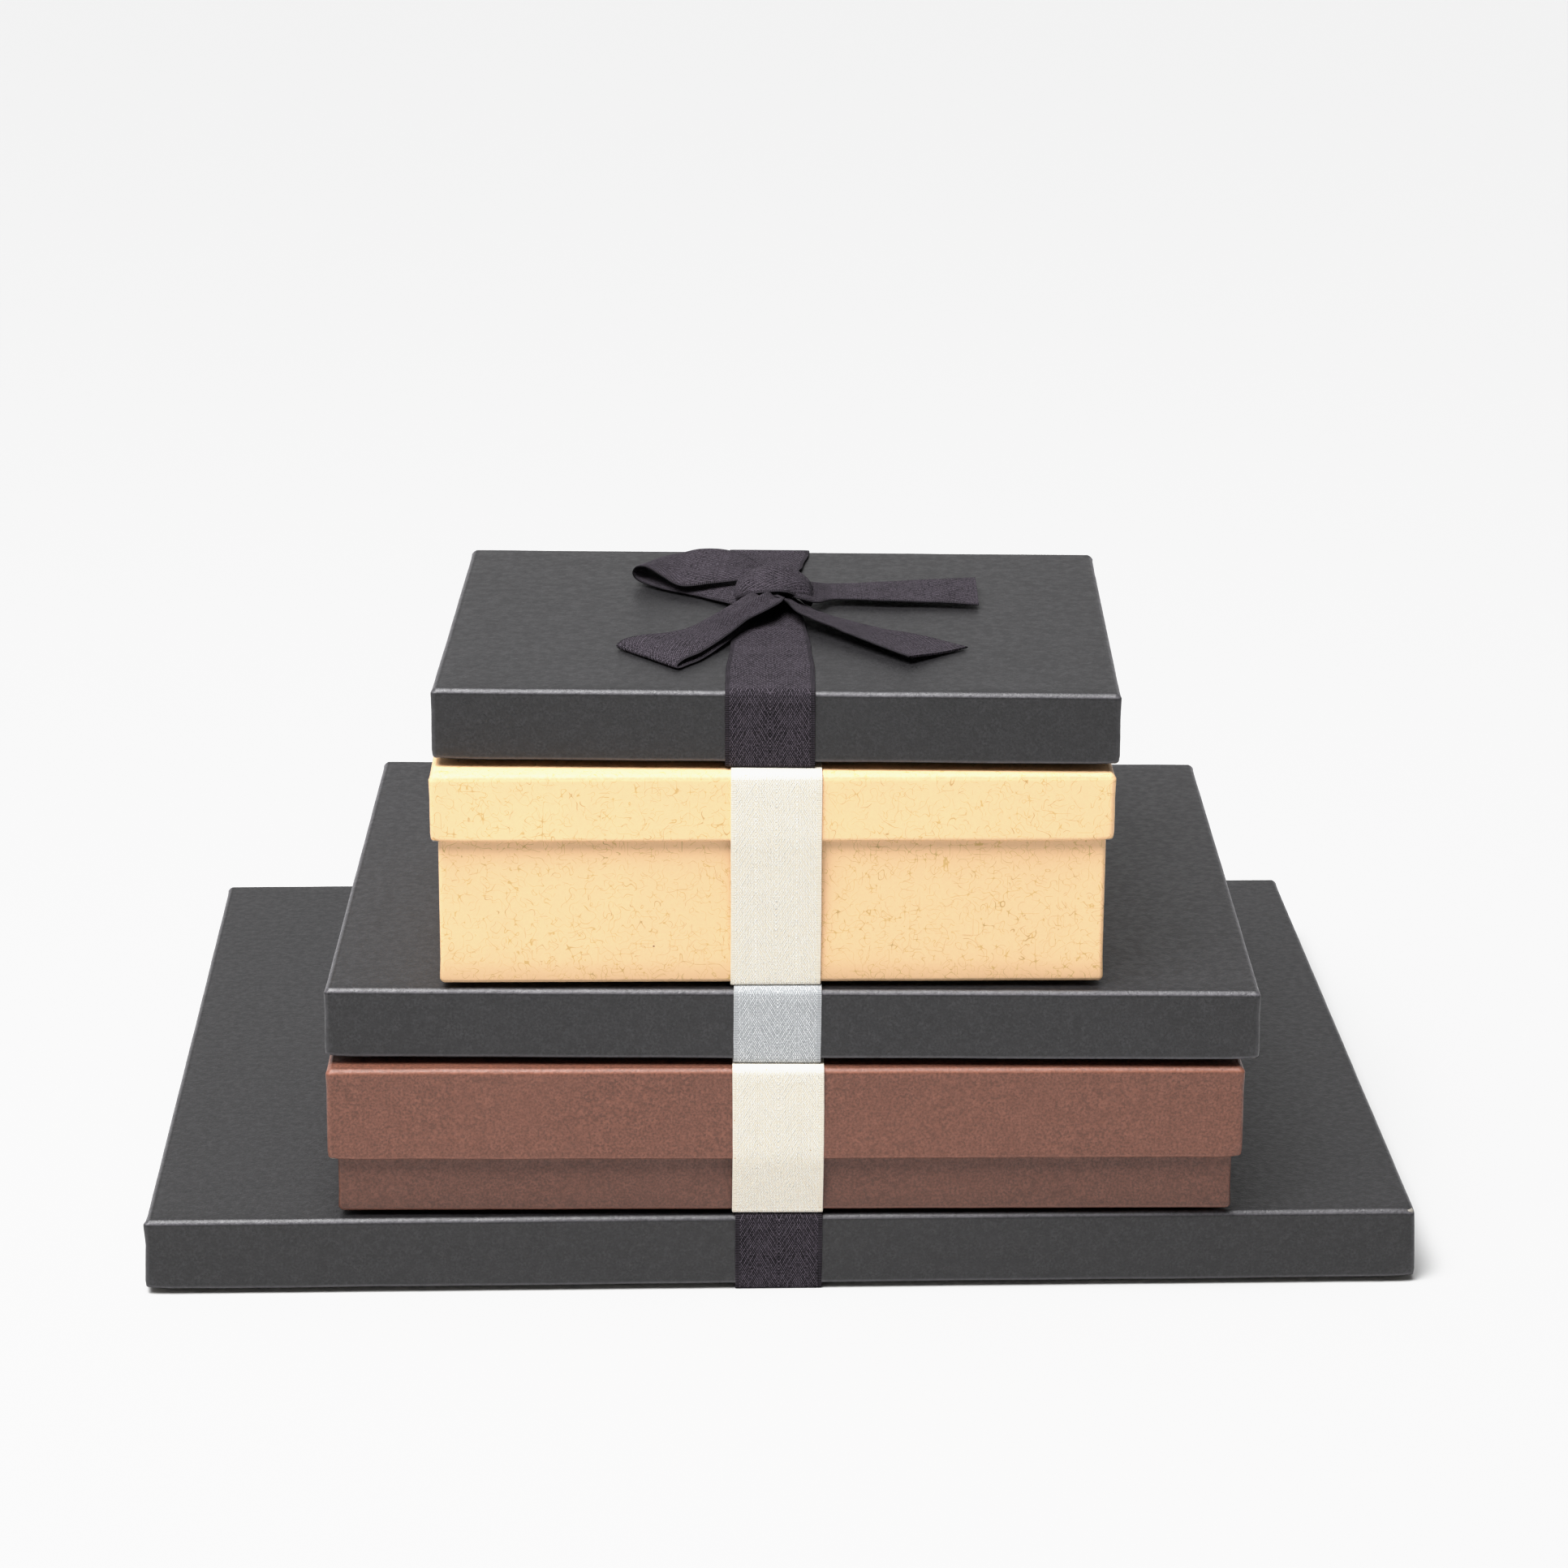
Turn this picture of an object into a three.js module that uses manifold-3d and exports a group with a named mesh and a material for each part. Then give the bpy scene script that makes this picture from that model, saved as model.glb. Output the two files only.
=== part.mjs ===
// A tower of five rigid gift boxes with lift-off lids, stacked from the widest to the narrowest.
// Each box is tied front to back with a herringbone tape ribbon, and the top one carries a bow.
// Millimetres, +Z up, +X to the right and +Y to the back. The origin is the middle of the lowest
// box's footprint, on the surface that the tower stands on.
import * as THREE from 'three';
import { mergeVertices } from 'three/addons/utils/BufferGeometryUtils.js';
import Module from 'manifold-3d';

const wasm = await Module();
wasm.setup();

// ---- sizes shared by every box -------------------------------------------------------------
const PAPER = 0.25; // covering and lining paper
const GLUE = 0.1; // glue line between the paper and the board
const CORNER_R = 1.5; // upright corners of the covered board
const EDGE_R = 1.2; // rounded long edges of the covered board
const RIM_PLAY = 0.2; // base rim to the underside of the lid
const LINER_MARGIN = 0.5; // liner paper to the walls of the base
const RIBBON_T = 0.6; // tape thickness
const SEAT = 0.15; // clearance of the tape to what it lies on
const JOIN = 0.3; // between the band's foot and the run under the base
const ROUND = 3; // segments in each rounded corner or edge
const OVERSIZE = 2; // how far a cutting block passes the piece it cuts

// ---- the five boxes, from the bottom up ----------------------------------------------------
// width, depth: outside of the lid. skirt: height of the lid. reveal: base seen below the lid.
// board: greyboard thickness. play: lid to base on each side. front: middle of the lid's front
// face, from the lowest box's. turn: degrees about +Z. tape: ribbon width. shift: ribbon off the
// middle. drawn: the band is drawn in from the lid's edge to the base's foot.
const BOXES = [
  {
    name: 'box1', width: 370, depth: 290, skirt: 21, reveal: 1.2, board: 2, play: 0.35,
    front: [0, 0], turn: 0, tape: 25.4, shift: -1.4, drawn: false,
    cover: 'charcoal', ribbon: 'black_tape',
  },
  {
    name: 'box2', width: 264, depth: 208, skirt: 27.5, reveal: 17.5, board: 1.8, play: 0.35,
    front: [0.5, -2.2], turn: -0.9, tape: 26.4, shift: -2.3, drawn: true,
    cover: 'cocoa', ribbon: 'ivory_tape',
  },
  {
    name: 'box3', width: 268, depth: 212, skirt: 20.5, reveal: 1, board: 1.8, play: 0.35,
    front: [2.3, 0.5], turn: -1.8, tape: 25.2, shift: -4.4, drawn: false,
    cover: 'charcoal', ribbon: 'grey_tape',
  },
  {
    name: 'box4', width: 193.5, depth: 150, skirt: 19.5, reveal: 43.5, board: 1.4, play: 0.25,
    front: [-3.6, 0.8], turn: -0.7, tape: 25.8, shift: 1, drawn: true,
    cover: 'kraft', ribbon: 'ivory_tape',
  },
  {
    name: 'box5', width: 194, depth: 150, skirt: 20.5, reveal: 1, board: 1.5, play: 0.3,
    front: [-2.8, 5.7], turn: -2.7, tape: 25.4, shift: -1.5, drawn: false,
    cover: 'charcoal', ribbon: 'black_tape',
  },
];

// ---- the bow on the top box ----------------------------------------------------------------
const KNOT = {
  fromFront: 86, width: 23, depth: 19, height: 10.5, waist: 0.4, sag: 0.6, rings: 8, sides: 20,
};
const KNOT_GAP = 0.5; // loops and tails to the knot
const THROAT = { width: 8.5, flare: 16 }; // gathered width at the knot, and where it is full again
const LOOPS = {
  back: { length: 31, height: 10, heading: 158 },
  front: { length: 48, height: 6, heading: 229 },
};
const TAILS = {
  back: { length: 49, heading: 8, lift: 1 },
  front: { length: 53, heading: -52, lift: 1 },
};

// ---- materials -----------------------------------------------------------------------------
const LOOKS = {
  charcoal: { color: 0x414144, roughness: 0.72, metalness: 0 },
  cocoa: { color: 0x6e4c44, roughness: 0.75, metalness: 0 },
  kraft: { color: 0xe3c58e, roughness: 0.82, metalness: 0 },
  greyboard: { color: 0x8f8b84, roughness: 0.9, metalness: 0 },
  lining: { color: 0xe9e6df, roughness: 0.85, metalness: 0 },
  black_tape: { color: 0x35313a, roughness: 0.9, metalness: 0 },
  ivory_tape: { color: 0xefe9da, roughness: 0.9, metalness: 0 },
  grey_tape: { color: 0xb9c2c7, roughness: 0.9, metalness: 0 },
};

function material(look) {
  return new THREE.MeshStandardMaterial(LOOKS[look]);
}

function piece(name, geometry, look) {
  const mesh = new THREE.Mesh(geometry, material(look));
  mesh.name = name;
  return mesh;
}

// ---- joining and cutting -------------------------------------------------------------------
function solid(geometry) {
  const bare = geometry.clone();
  bare.deleteAttribute('normal');
  bare.deleteAttribute('uv');
  const merged = mergeVertices(bare);
  return new wasm.Manifold(new wasm.Mesh({
    numProp: 3,
    vertProperties: new Float32Array(merged.attributes.position.array),
    triVerts: new Uint32Array(merged.index.array),
  }));
}

function geometryOf(body) {
  const mesh = body.getMesh();
  const geometry = new THREE.BufferGeometry();
  geometry.setAttribute('position', new THREE.BufferAttribute(mesh.vertProperties, 3));
  geometry.setIndex(new THREE.BufferAttribute(mesh.triVerts, 1));
  geometry.computeVertexNormals();
  return geometry;
}

function block(width, depth, height, z) {
  return new THREE.BoxGeometry(width, depth, height).translate(0, 0, z + height / 2);
}

// ---- shapes --------------------------------------------------------------------------------
function roundedRectangle(width, depth, radius) {
  const x = width / 2;
  const y = depth / 2;
  const shape = new THREE.Shape();
  shape.moveTo(-x + radius, -y);
  shape.lineTo(x - radius, -y);
  shape.absarc(x - radius, -y + radius, radius, -Math.PI / 2, 0, false);
  shape.lineTo(x, y - radius);
  shape.absarc(x - radius, y - radius, radius, 0, Math.PI / 2, false);
  shape.lineTo(-x + radius, y);
  shape.absarc(-x + radius, y - radius, radius, Math.PI / 2, Math.PI, false);
  shape.lineTo(-x, -y + radius);
  shape.absarc(-x + radius, -y + radius, radius, Math.PI, 1.5 * Math.PI, false);
  return shape;
}

// A block with round upright corners and, where edge is above 0, round edges on its top face.
function softBlock(width, depth, height, corner, edge) {
  if (edge <= 0) {
    const flat = roundedRectangle(width, depth, corner);
    return new THREE.ExtrudeGeometry(flat, { depth: height, bevelEnabled: false, curveSegments: ROUND });
  }
  const inner = roundedRectangle(width - 2 * edge, depth - 2 * edge, Math.max(corner - edge, 0.1));
  const full = new THREE.ExtrudeGeometry(inner, {
    depth: height,
    bevelEnabled: true,
    bevelThickness: edge,
    bevelSize: edge,
    bevelSegments: ROUND,
    curveSegments: ROUND,
  }).translate(0, 0, -edge);
  const under = block(width + OVERSIZE, depth + OVERSIZE, 2 * edge + OVERSIZE, -2 * edge - OVERSIZE);
  return geometryOf(solid(full).subtract(solid(under)));
}

// A shell that is closed on top and open below, its rim at z = 0, centred on x and y.
function cap(width, depth, height, wall, corner, edge) {
  const outer = softBlock(width, depth, height, corner, edge);
  const innerCorner = Math.max(corner - wall, 0.3);
  const inner = softBlock(
    width - 2 * wall, depth - 2 * wall, height - wall, innerCorner, Math.max(edge - wall, 0));
  const mouth = softBlock(
    width - 2 * wall, depth - 2 * wall, OVERSIZE, innerCorner, 0).translate(0, 0, -OVERSIZE);
  return geometryOf(solid(outer).subtract(solid(inner)).subtract(solid(mouth)));
}

// ---- where everything in one box lies ------------------------------------------------------
// The box's own frame: the lid's front face at y = 0, x = 0 in the middle, z = 0 where the
// ribbon under the base lies on whatever carries it.
function measure(box) {
  const skin = PAPER + GLUE;
  const inset = skin + box.board + box.play;
  const foot = RIBBON_T + SEAT;
  const lidRim = foot + box.reveal;
  const lidTop = lidRim + box.skirt;
  const baseRim = lidTop - skin - box.board - RIM_PLAY;
  return {
    skin,
    inset,
    foot,
    lidRim,
    lidTop,
    baseHeight: baseRim - foot,
    baseWidth: box.width - 2 * inset,
    baseDepth: box.depth - 2 * inset,
    ribbonTop: lidTop + SEAT + RIBBON_T,
    tuck: box.drawn ? inset : 0,
  };
}

// ---- the pieces of one box -----------------------------------------------------------------
function baseWrap(box, at) {
  const shell = cap(at.baseWidth, at.baseDepth, at.baseHeight, PAPER, CORNER_R, EDGE_R);
  shell.rotateX(Math.PI).translate(0, box.depth / 2, at.foot + at.baseHeight);
  return piece(`${box.name}_base_wrap`, shell, box.cover);
}

function baseBoard(box, at) {
  const shell = cap(
    at.baseWidth - 2 * at.skin, at.baseDepth - 2 * at.skin, at.baseHeight - at.skin,
    box.board, CORNER_R - at.skin, EDGE_R - at.skin);
  shell.rotateX(Math.PI).translate(0, box.depth / 2, at.foot + at.baseHeight);
  return piece(`${box.name}_base_board`, shell, 'greyboard');
}

function baseLiner(box, at) {
  const walls = 2 * (at.skin + box.board + LINER_MARGIN);
  const floor = at.foot + at.skin + box.board + GLUE;
  const sheet = block(at.baseWidth - walls, at.baseDepth - walls, PAPER, floor);
  return piece(`${box.name}_base_liner`, sheet.translate(0, box.depth / 2, 0), 'lining');
}

function lidWrap(box, at) {
  const shell = cap(box.width, box.depth, box.skirt, PAPER, CORNER_R, EDGE_R);
  shell.translate(0, box.depth / 2, at.lidRim);
  return piece(`${box.name}_lid_wrap`, shell, box.cover);
}

function lidBoard(box, at) {
  const shell = cap(
    box.width - 2 * at.skin, box.depth - 2 * at.skin, box.skirt - at.skin,
    box.board, CORNER_R - at.skin, EDGE_R - at.skin);
  shell.translate(0, box.depth / 2, at.lidRim);
  return piece(`${box.name}_lid_board`, shell, 'greyboard');
}

// One side of the band, from its foot up round the lid's edge, at a distance off the lid.
function bandSide(box, at, off) {
  const points = [new THREE.Vector2(at.tuck - off, at.foot - SEAT + JOIN)];
  if (at.tuck > 0) points.push(new THREE.Vector2(-off, at.lidRim));
  const radius = EDGE_R + off;
  for (let i = 0; i <= ROUND; i += 1) {
    const angle = (i / ROUND) * (Math.PI / 2);
    points.push(new THREE.Vector2(
      EDGE_R - radius * Math.cos(angle), at.lidTop - EDGE_R + radius * Math.sin(angle)));
  }
  return points;
}

function across(points, depth) {
  return points.map((p) => new THREE.Vector2(depth - p.x, p.y)).reverse();
}

// The ribbon's band over the lid: up the front, along the top and down the back.
function ribbonBand(box, at) {
  const inside = bandSide(box, at, SEAT);
  const outside = bandSide(box, at, SEAT + RIBBON_T);
  const loop = [...outside, ...across(outside, box.depth), ...across(inside, box.depth).reverse()];
  const outline = new THREE.Shape([...loop, ...[...inside].reverse()]);
  return piece(`${box.name}_ribbon_band`, extrudeAlongX(outline, box.tape, box.shift), box.ribbon);
}

// Turns an outline drawn in (y, z) into a solid of that width along x.
function extrudeAlongX(outline, width, middle) {
  const strip = new THREE.ExtrudeGeometry(outline, { depth: width, bevelEnabled: false });
  strip.translate(0, 0, -width / 2);
  const turn = new THREE.Matrix4().makeBasis(
    new THREE.Vector3(0, 1, 0), new THREE.Vector3(0, 0, 1), new THREE.Vector3(1, 0, 0));
  return strip.applyMatrix4(turn).translate(middle, 0, 0);
}

// The ribbon's run under the base, as long as the box is deep.
function ribbonUnder(box, at) {
  const end = SEAT + RIBBON_T - at.tuck;
  const run = block(box.tape, box.depth + 2 * end, RIBBON_T, 0);
  run.translate(box.shift, box.depth / 2, 0);
  return piece(`${box.name}_ribbon_under`, run, box.ribbon);
}

// ---- the bow -------------------------------------------------------------------------------
// A squashed dome, widest below its middle, flat where it lies on the band.
function knot() {
  const outline = [new THREE.Vector2(0, 0)];
  for (let i = 0; i < KNOT.rings; i += 1) {
    const rise = i / KNOT.rings;
    const reach = rise < KNOT.waist ? KNOT.sag : 1 - KNOT.waist;
    outline.push(new THREE.Vector2(Math.sqrt(1 - ((rise - KNOT.waist) / reach) ** 2), rise));
  }
  outline.push(new THREE.Vector2(0, 1));
  const dome = new THREE.LatheGeometry(outline, KNOT.sides);
  dome.rotateX(Math.PI / 2).scale(KNOT.width / 2, KNOT.depth / 2, KNOT.height);
  return piece('bow_knot', dome, 'black_tape');
}

// A flattened loop of tape, open at both sides, lying away from the knot along +x.
function loopOutline(length, height) {
  const radius = height / 2;
  const outline = new THREE.Shape();
  outline.moveTo(0, 0);
  outline.lineTo(length - radius, 0);
  outline.absarc(length - radius, radius, radius, -Math.PI / 2, Math.PI / 2, false);
  outline.lineTo(0, RIBBON_T + SEAT + RIBBON_T);
  const hole = new THREE.Path();
  const bore = radius - RIBBON_T;
  hole.moveTo(length / 4, RIBBON_T);
  hole.lineTo(length - radius, RIBBON_T);
  hole.absarc(length - radius, radius, bore, -Math.PI / 2, Math.PI / 2, false);
  outline.holes.push(hole);
  return outline;
}

// The plan of a strip that leaves the knot gathered and spreads to the tape's full width.
function spread(length, tape, height) {
  const plan = new THREE.Shape([
    new THREE.Vector2(0, -THROAT.width / 2),
    new THREE.Vector2(THROAT.flare, -tape / 2),
    new THREE.Vector2(length, -tape / 2),
    new THREE.Vector2(length, tape / 2),
    new THREE.Vector2(THROAT.flare, tape / 2),
    new THREE.Vector2(0, THROAT.width / 2),
  ]);
  return new THREE.ExtrudeGeometry(plan, { depth: height, bevelEnabled: false });
}

function bowLoop(name, loop, tape) {
  const strip = new THREE.ExtrudeGeometry(loopOutline(loop.length, loop.height), {
    depth: tape, bevelEnabled: false, curveSegments: 6,
  });
  strip.rotateX(Math.PI / 2).translate(0, tape / 2, 0);
  const plan = spread(loop.length + OVERSIZE, tape, loop.height + 2 * OVERSIZE);
  const gathered = solid(strip).intersect(solid(plan.translate(0, 0, -OVERSIZE)));
  return piece(name, geometryOf(gathered), 'black_tape');
}

function bowTail(name, tail, tape) {
  const strip = spread(tail.length, tape, RIBBON_T).translate(0, 0, tail.lift);
  return piece(name, strip, 'black_tape');
}

// Lays a strip along its heading, starting clear of the knot.
function leaving(mesh, heading) {
  const angle = THREE.MathUtils.degToRad(heading);
  const start = Math.hypot((KNOT.width / 2) * Math.cos(angle), (KNOT.depth / 2) * Math.sin(angle));
  mesh.position.set((start + KNOT_GAP) * Math.cos(angle), (start + KNOT_GAP) * Math.sin(angle), 0);
  mesh.rotation.z = angle;
  return mesh;
}

function bow(box, at) {
  const group = new THREE.Group();
  group.position.set(box.shift, KNOT.fromFront, at.ribbonTop + SEAT);
  group.add(knot());
  for (const [side, loop] of Object.entries(LOOPS)) {
    group.add(leaving(bowLoop(`bow_loop_${side}`, loop, box.tape), loop.heading));
  }
  for (const [side, tail] of Object.entries(TAILS)) {
    group.add(leaving(bowTail(`bow_tail_${side}`, tail, box.tape), tail.heading));
  }
  return group;
}

// ---- the tower -----------------------------------------------------------------------------
function giftBox(box) {
  const at = measure(box);
  const group = new THREE.Group();
  group.add(baseBoard(box, at), baseWrap(box, at), baseLiner(box, at));
  group.add(lidBoard(box, at), lidWrap(box, at));
  group.add(ribbonBand(box, at), ribbonUnder(box, at));
  return group;
}

const tower = new THREE.Group();
let level = 0;
for (const box of BOXES) {
  const group = giftBox(box);
  group.position.set(box.front[0], box.front[1] - BOXES[0].depth / 2, level);
  group.rotation.z = THREE.MathUtils.degToRad(box.turn);
  if (box === BOXES[BOXES.length - 1]) group.add(bow(box, measure(box)));
  tower.add(group);
  level += measure(box).ribbonTop + SEAT;
}

export default tower;
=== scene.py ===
"""A tower of five covered gift boxes, each tied with herringbone tape, and a bow on top."""

import math
import random

import bpy
from mathutils import Matrix, Vector, noise


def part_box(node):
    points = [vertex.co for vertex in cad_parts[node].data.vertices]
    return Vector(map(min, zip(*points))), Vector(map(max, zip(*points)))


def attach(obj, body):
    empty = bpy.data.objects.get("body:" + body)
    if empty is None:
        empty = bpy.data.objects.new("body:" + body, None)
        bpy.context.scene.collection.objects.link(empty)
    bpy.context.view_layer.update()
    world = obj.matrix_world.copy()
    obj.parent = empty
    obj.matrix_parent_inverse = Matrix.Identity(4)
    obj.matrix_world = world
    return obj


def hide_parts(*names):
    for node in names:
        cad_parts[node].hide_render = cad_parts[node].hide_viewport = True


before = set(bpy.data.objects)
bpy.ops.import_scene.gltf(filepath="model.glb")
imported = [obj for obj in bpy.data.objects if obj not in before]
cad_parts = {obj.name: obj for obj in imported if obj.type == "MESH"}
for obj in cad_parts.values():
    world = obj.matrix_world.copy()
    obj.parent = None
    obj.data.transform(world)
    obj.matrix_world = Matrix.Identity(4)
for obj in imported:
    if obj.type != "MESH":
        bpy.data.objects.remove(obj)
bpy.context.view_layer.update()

noise.seed_set(5)  # otherwise noise_vector() starts from the clock
MM = 0.001
RIBBON_T = 0.6  # tape thickness, mm
SEAT = 0.15  # tape to what it lies on, mm
EDGE_R = 1.45  # softened top edges of a covered lid, mm
FLATNESS = 0.33  # how far they are flat bevels, not round
CREASE = 0.09  # dip in the paper just inside the board edge, mm
BASE_EDGE_R = 1.2  # rounded lower edges of a covered base, mm
COVER_T = 0.42  # covering paper and glue, as they show at a rim, mm
TURN_IN = 0.9  # how far up inside a rim the visible cover goes, mm
GRID = 5.0  # spacing of a cover's grid, mm
ROW_ENDS = (0.5, 2.0)  # a skirt's even rows start this far under its edge and end this far
# above its rim, mm
WALL_BOW = (-0.28, 0.22)  # how far in or out the middle of a covered wall may stand, mm
RIM_WAVE = 0.14  # up and down, mm
WOBBLE = 0.07  # unevenness of a whole cover, mm
LID_SAG = 0.1  # dip in the middle of a lid, mm
BASE_FLARE = -0.1  # how far a base's open rim leans out, mm
# painted shade: the colour of a base's cover is darker towards its foot
PAINTED_FOOT_SHADE = (0.22, 9)  # how much a base darkens towards its foot, and from how high, mm
SHARP_ANGLE = 40  # degrees; a sharper edge isn't smoothed over
STATION_STEP = 3.0  # between the stations of a ribbon, mm

# front: middle of the lid's front face from the lowest box's, mm. turn: degrees. tape: ribbon
# width, mm. shift: ribbon off the middle, mm. drawn: the band runs in to the base's foot.
# flare: how far the lid's skirt spreads, mm. The lid's and the base's painted shade: the
# paper's colour times this, a painted shade that darkens a whole cover. corners, by (right, back):
# how far a lid's corner stands out and how far it drops, mm.
# skew: how far the ribbon runs sideways per mm. gather: it is drawn in under the knot.
BOXES = {
    "box1": dict(
        look="charcoal", ribbon="black_tape", front=(0, 0), turn=0, tape=25.4, shift=-1.4,
        drawn=False, flare=0.8, seed=3, painted_lid_shade=0.86,
        corners={(False, False): (0.6, -0.25), (True, False): (-0.1, 0.35)}),
    "box2": dict(
        look="cocoa", ribbon="ivory_tape", front=(0.5, -2.2), turn=-0.9, tape=26.4, shift=-2.3,
        drawn=True, flare=0.35, seed=11, painted_base_shade=0.78),
    "box3": dict(
        look="charcoal", ribbon="grey_tape", front=(2.3, 0.5), turn=-1.8, tape=25.2, shift=-4.4,
        drawn=False, flare=0.5, seed=23),
    "box4": dict(
        look="kraft", ribbon="ivory_tape", front=(-3.6, 0.8), turn=-0.7, tape=25.8, shift=1,
        drawn=True, flare=0.2, seed=31),
    "box5": dict(
        look="charcoal", ribbon="black_tape", front=(-2.8, 5.7), turn=-2.7, tape=25.4, shift=-1.5,
        drawn=False, flare=0.35, seed=47, painted_lid_shade=0.88, skew=-0.016, gather=True),
}


# ---- where each box lies, read from the frame ------------------------------------------------
def box_matrix(name):
    """From the box's own millimetres, its lid's front face at y = 0, to the row frame."""
    box = BOXES[name]
    front_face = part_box("box1_lid_wrap")[0].y / MM
    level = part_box(name + "_ribbon_under")[0].z / MM
    place = Matrix.Translation((box["front"][0], box["front"][1] + front_face, level))
    return place @ Matrix.Rotation(math.radians(box["turn"]), 4, "Z")


def local_box(name, node):
    """Lowest and highest corners of a CAD node in its box's own millimetres."""
    back = box_matrix(name).inverted()
    points = [back @ (v.co / MM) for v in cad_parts[node].data.vertices]
    low = Vector([min(p[i] for p in points) for i in range(3)])
    high = Vector([max(p[i] for p in points) for i in range(3)])
    return low, high


# ---- materials -------------------------------------------------------------------------------
class Nodes:
    """A short way to write a node tree."""

    def __init__(self, name):
        self.material = bpy.data.materials.new(name)
        self.material.use_nodes = True
        self.tree = self.material.node_tree
        self.shader = self.tree.nodes["Principled BSDF"]

    def add(self, kind, inputs=None, **settings):
        node = self.tree.nodes.new(kind)
        for key, value in settings.items():
            setattr(node, key, value)
        for key, value in (inputs or {}).items():
            self.put(node.inputs[key], value)
        return node

    def put(self, socket, value):
        if isinstance(value, bpy.types.NodeSocket):
            self.tree.links.new(value, socket)
        else:
            socket.default_value = value

    def math(self, operation, a, b=0.0, c=0.0):
        node = self.add("ShaderNodeMath", operation=operation)
        for socket, value in zip(node.inputs, (a, b, c)):
            self.put(socket, value)
        return node.outputs[0]

    def mix(self, factor, a, b):
        node = self.add("ShaderNodeMix", data_type="RGBA")
        for index, value in ((0, factor), (6, a), (7, b)):
            self.put(node.inputs[index], value)
        return node.outputs[2]

    def ramp(self, value, low, high, to_low=0.0, to_high=1.0):
        inputs = {0: value, 1: low, 2: high, 3: to_low, 4: to_high}
        return self.add("ShaderNodeMapRange", inputs, interpolation_type="SMOOTHSTEP").outputs[0]

    def noise(self, where, size, detail=2.0, rough=0.5):
        """A noise whose features are size mm across."""
        inputs = {"Vector": where, "Scale": 1.0 / (size * MM), "Detail": detail, "Roughness": rough}
        return self.add("ShaderNodeTexNoise", inputs).outputs["Fac"]

    def place(self, offset=(0, 0, 0)):
        """A place on the object, in m, moved by an offset."""
        inputs = {0: self.add("ShaderNodeTexCoord").outputs["Object"], 1: offset}
        return self.add("ShaderNodeVectorMath", inputs, operation="ADD").outputs[0]

    def flecks(self, offset, size, low, high, strength, share):
        """Round flecks, about one in a cell of size mm, in some of the cells only."""
        inputs = {"Vector": self.place(offset), "Scale": 1 / (size * MM)}
        cells = self.add("ShaderNodeTexVoronoi", inputs)
        spot = self.ramp(cells.outputs["Distance"], low, high, strength, 0.0)
        red = self.add("ShaderNodeSeparateColor", {0: cells.outputs["Color"]}).outputs[0]
        return self.math("MULTIPLY", spot, self.ramp(red, share, share + 0.02))

    def bump(self, height, distance, strength):
        inputs = {"Height": height, "Distance": distance * MM, "Strength": strength}
        return self.add("ShaderNodeBump", inputs).outputs[0]


def linear(red, green, blue):
    """A colour given as it looks on a screen, 0 to 255."""
    def one(value):
        value /= 255.0
        return value / 12.92 if value <= 0.04045 else ((value + 0.055) / 1.055) ** 2.4
    return (one(red), one(green), one(blue), 1.0)


def scaled(colour, by):
    return tuple(c * by for c in colour[:3]) + (1.0,)


PAPER_BUMP = 0.17  # mm


def paper(name, colour, grain, rough, worn_and_painted_edges, relief=0.9, fibres=False, specular=0.5):
    """Covering paper: fine grain, soft blotches, rubbed edges with a painted highlight or painted
    shade on them, painted shade across a cover and, on kraft, curly fibres.
    grain: how much the colour varies. worn: how strongly the rubbed edges and their painted
    edge light show, and their colour as a multiple of the paper's. relief: strength of the bump."""
    n = Nodes(name)
    at = n.place()
    fine = n.noise(at, 0.75, 2.0, 0.65)
    coarse = n.noise(at, 2.3, 2.0)
    patch = n.noise(at, 5.5, 2.0)
    cloud = n.noise(at, 26.0, 3.0)
    tone = n.mix(n.ramp(fine, 0.28, 0.72), scaled(colour, 1 - grain), scaled(colour, 1 + grain))
    tone = n.mix(n.ramp(coarse, 0.3, 0.7, 0.0, grain * 0.8), tone, scaled(colour, 0.6))
    tone = n.mix(n.ramp(patch, 0.35, 0.7, 0.0, grain * 0.25), tone, scaled(colour, 1.3))
    tone = n.mix(n.ramp(cloud, 0.35, 0.7, 0.0, 0.12), tone, scaled(colour, 1.25))
    height = n.math("ADD", n.math("MULTIPLY", fine, 0.75), n.math("MULTIPLY", coarse, 0.5))
    if fibres:
        tone = curly_fibres(n, tone, colour)
    # painted light on the edges: rubbing at the rims, and a painted highlight or painted shade on
    # the lids' top edges, in a colour that is a multiple of the paper's
    wear_and_painted_edge_light = n.add("ShaderNodeAttribute", attribute_name="wear_and_painted_edge_light").outputs["Fac"]
    scuff_and_painted_edge_light = n.math("MULTIPLY", wear_and_painted_edge_light, n.ramp(n.noise(at, 1.1, 3.0, 0.7), 0.25, 0.62, 0.4, 1.0))
    tone = n.mix(n.math("MULTIPLY", scuff_and_painted_edge_light, worn_and_painted_edges[0]), tone, scaled(colour, worn_and_painted_edges[1]))
    # painted shade: the shade attribute darkens the paper's colour
    shade = n.add("ShaderNodeAttribute", attribute_name="shade").outputs["Fac"]
    tone = n.mix(shade, (0, 0, 0, 1), tone)
    n.put(n.shader.inputs["Base Color"], tone)
    n.put(n.shader.inputs["Roughness"], n.ramp(coarse, 0.25, 0.75, rough - 0.05, rough + 0.07))
    n.shader.inputs["Specular IOR Level"].default_value = specular
    n.put(n.shader.inputs["Normal"], n.bump(height, PAPER_BUMP, relief))
    return n.material


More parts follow.
